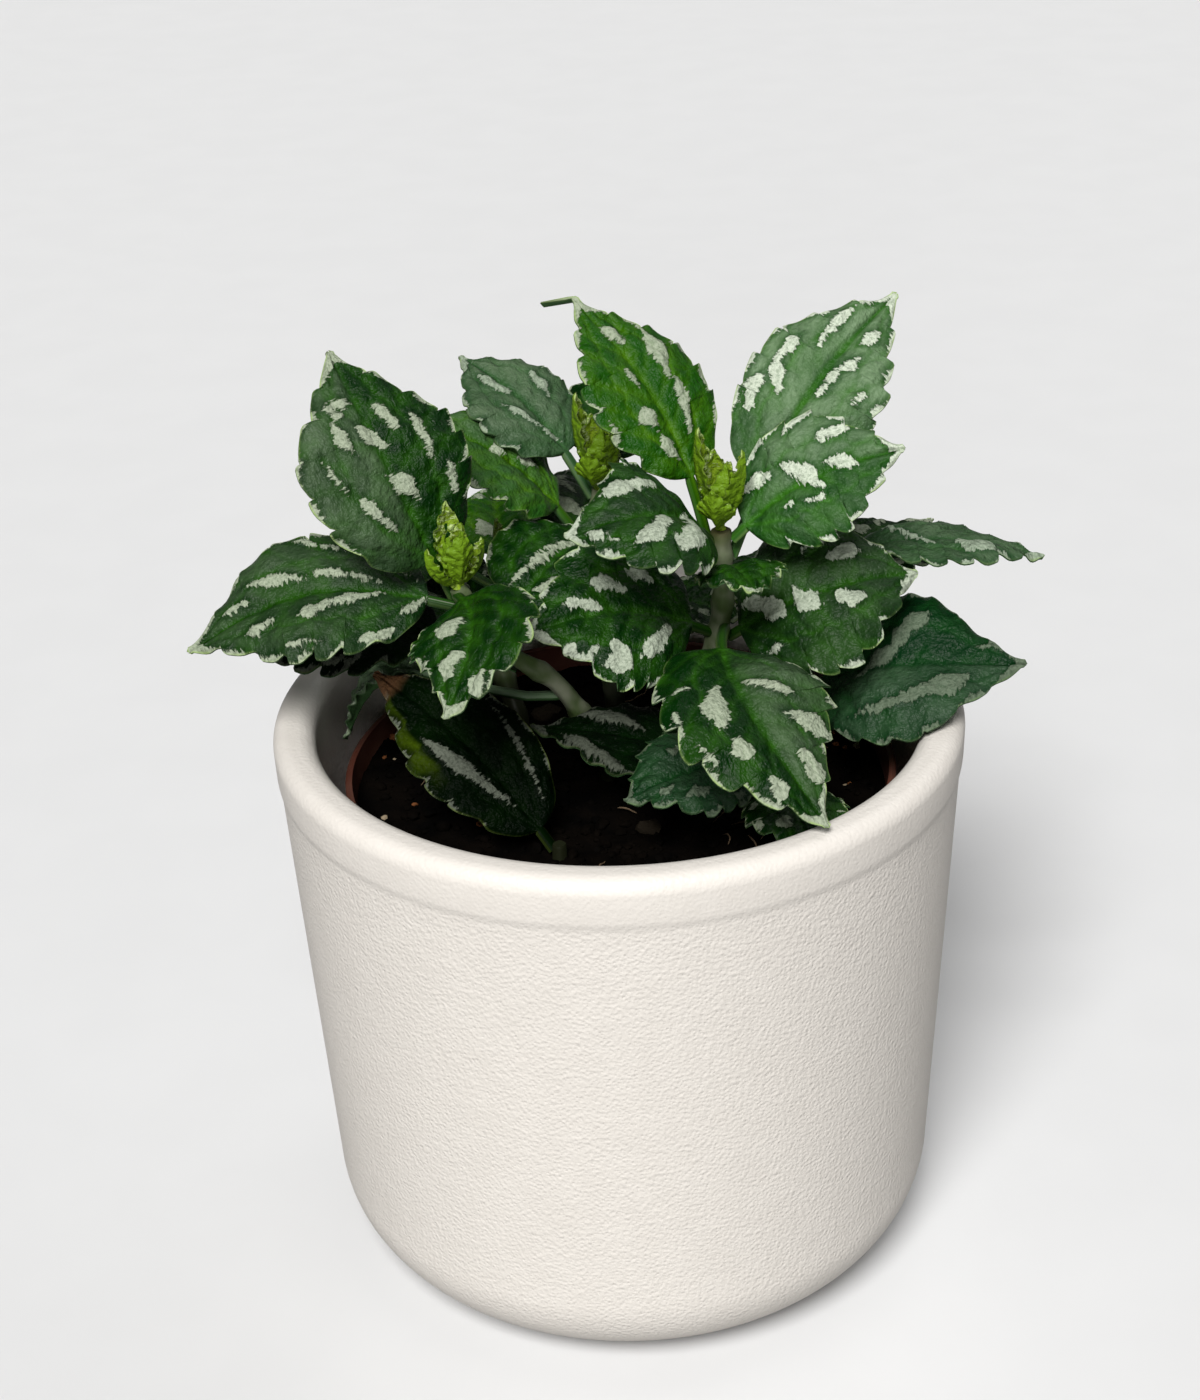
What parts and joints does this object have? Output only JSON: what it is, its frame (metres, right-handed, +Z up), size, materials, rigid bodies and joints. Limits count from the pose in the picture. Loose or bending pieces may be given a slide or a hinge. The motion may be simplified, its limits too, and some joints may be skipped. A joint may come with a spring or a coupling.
{
  "type": "potted aluminum plant",
  "caption": "Small silver-patched foliage plant in a nursery pot, standing in a smooth round white cachepot.",
  "frame": {"origin": "centre of the cachepot's flat foot", "axes": "+Z up, along the pot's axis; -Y towards the viewer of the picture; +X to the viewer's right"},
  "size_m": [0.1537, 0.1415, 0.1772],
  "materials": {
    "cachepot": "matte off-white with a fine moulded grain",
    "nursery_pot": "thin brown moulded plastic",
    "soil": "dark crumbly potting mix with pale bark and perlite chips",
    "leaf": "dark green quilted leaf with raised silver patches",
    "stem": "pale grey-green fleshy stem, reddish near its top",
    "shoot": "bright yellow-green young leaves"
  },
  "bodies": {
    "root": {"cachepot": "cachepot", "leaf_back_high": "leaf", "leaf_back_inner": "leaf", "leaf_back_left_far": "leaf", "leaf_back_left_near": "leaf", "leaf_back_low": "leaf", "leaf_back_mid": "leaf", "leaf_crown_left": "leaf", "leaf_crown_right": "leaf", "leaf_front": "leaf", "leaf_left_front": "leaf", "leaf_left_hanging": "leaf", "leaf_left_inner": "leaf", "leaf_left_long": "leaf", "leaf_left_tall": "leaf", "leaf_left_under": "leaf", "leaf_low_middle": "leaf", "leaf_middle_left": "leaf", "leaf_middle_right": "leaf", "leaf_rear_back": "leaf", "leaf_rear_far": "leaf", "leaf_rear_left": "leaf", "leaf_rear_low": "leaf", "leaf_rear_right": "leaf", "leaf_right_back": "leaf", "leaf_right_inner": "leaf", "leaf_right_long": "leaf", "leaf_right_low": "leaf", "leaf_right_rear": "leaf", "leaf_soil_front": "leaf", "leaf_soil_left": "leaf", "leaf_soil_right": "leaf", "leaf_top_front": "leaf", "leaf_top_left": "leaf", "leaf_top_right": "leaf", "nursery_pot": "nursery_pot", "shoot_back": "shoot", "shoot_back_left": "shoot", "shoot_front_right": "shoot", "shoot_left": "shoot", "shoot_middle": "shoot", "shoot_right": "shoot", "soil": "soil", "stem_back": "stem", "stem_back_left": "stem", "stem_front_left": "stem", "stem_front_right": "stem", "stem_left": "stem", "stem_middle": "stem", "stem_right": "stem"}
  },
  "joints": []
}
